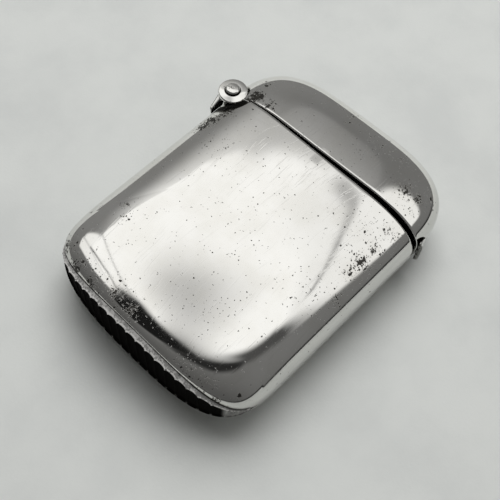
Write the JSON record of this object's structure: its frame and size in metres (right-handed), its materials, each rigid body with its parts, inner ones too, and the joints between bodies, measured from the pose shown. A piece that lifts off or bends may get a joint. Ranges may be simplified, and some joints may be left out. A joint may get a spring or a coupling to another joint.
{
  "type": "vesta case",
  "caption": "Polished silver pocket vesta case with a side-hinged lid standing slightly ajar, a thumb-piece and a fluted striker at its base.",
  "frame": {"origin": "middle of the mouth line, on the flat of the back", "axes": "+X from the striker to the lid, +Y to the hinge side, +Z out of the front face"},
  "size_m": [0.0477, 0.0374, 0.0112],
  "materials": {
    "silver": "polished and worn, with fine scratches and dark pits",
    "striker_silver": "dark patina in the flutes, bright on the lands",
    "spring_steel": "blued grey"
  },
  "bodies": {
    "case": {"body_front_shell": "silver", "body_back_shell": "silver", "striker_plate": "striker_silver", "front_knuckle": "silver", "back_knuckle": "silver", "hinge_pin": "silver", "lid_spring": "spring_steel", "spring_stud": "silver"},
    "lid": {"lid_front_shell": "silver", "lid_back_shell": "silver", "lid_knuckle": "silver", "thumb_piece": "silver"}
  },
  "joints": [
    {"name": "lid_hinge", "type": "hinge", "parent": "case", "child": "lid", "pos_m": [0.0002, 0.01705, 0.0056], "axis": [0, 0, 1], "range_deg": [-1.3, 128.7]}
  ]
}
